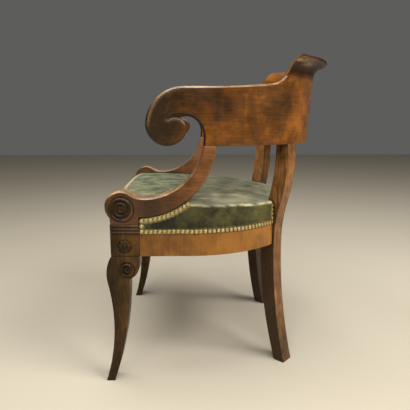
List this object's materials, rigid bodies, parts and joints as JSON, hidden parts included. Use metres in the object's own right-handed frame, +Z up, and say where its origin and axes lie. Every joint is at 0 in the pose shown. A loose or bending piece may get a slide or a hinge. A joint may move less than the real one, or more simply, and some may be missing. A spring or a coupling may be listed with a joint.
{
  "type": "desk armchair",
  "caption": "Mahogany desk armchair with a round back, scrolled arms, sabre legs and a leather seat edged with brass nails",
  "frame": {"origin": "middle of the bounding box's footprint, on the floor", "axes": "+Z is up, the chair faces -Y, and +X is the sitter's left"},
  "size_m": [0.5812, 0.59, 0.798],
  "materials": {
    "mahogany_dark": "French polished, dark",
    "mahogany_plain": "French polished",
    "mahogany_figured": "French polished, figured",
    "mahogany_crest": "French polished, dark",
    "mahogany_rail": "French polished, worn paler",
    "beech": "sawn and unpolished",
    "webbing": "woven jute",
    "hessian": "open weave",
    "stuffing": "curled hair",
    "green_leather": "worn and waxed",
    "brass": "aged, rubbed bright on the crowns"
  },
  "bodies": {
    "root": {"front_leg_left": "mahogany_dark", "front_leg_right": "mahogany_dark", "arm_support_left": "mahogany_dark", "arm_support_right": "mahogany_dark", "rear_leg_left": "mahogany_plain", "rear_leg_right": "mahogany_plain", "arm_board_left": "mahogany_figured", "arm_board_right": "mahogany_figured", "back_board": "mahogany_figured", "crest_rail": "mahogany_crest", "front_seat_rail": "mahogany_rail", "side_seat_rail_left": "mahogany_rail", "side_seat_rail_right": "mahogany_rail", "rear_seat_rail": "mahogany_rail", "front_corner_block_left": "beech", "front_corner_block_right": "beech", "rear_corner_block_left": "beech", "rear_corner_block_right": "beech", "leg_dowels": "beech", "arm_dowels": "beech", "back_seam_dowels_left": "beech", "back_seam_dowels_right": "beech", "crest_dowels": "beech", "webbing_front_to_back": "webbing", "webbing_side_to_side": "webbing", "seat_hessian": "hessian", "seat_stuffing": "stuffing", "seat_leather": "green_leather", "side_rail_nails_left": "brass", "side_rail_nails_right": "brass", "arm_support_nails_left": "brass", "arm_support_nails_right": "brass", "front_rail_nails": "brass", "rear_rail_nails": "brass"}
  },
  "joints": []
}
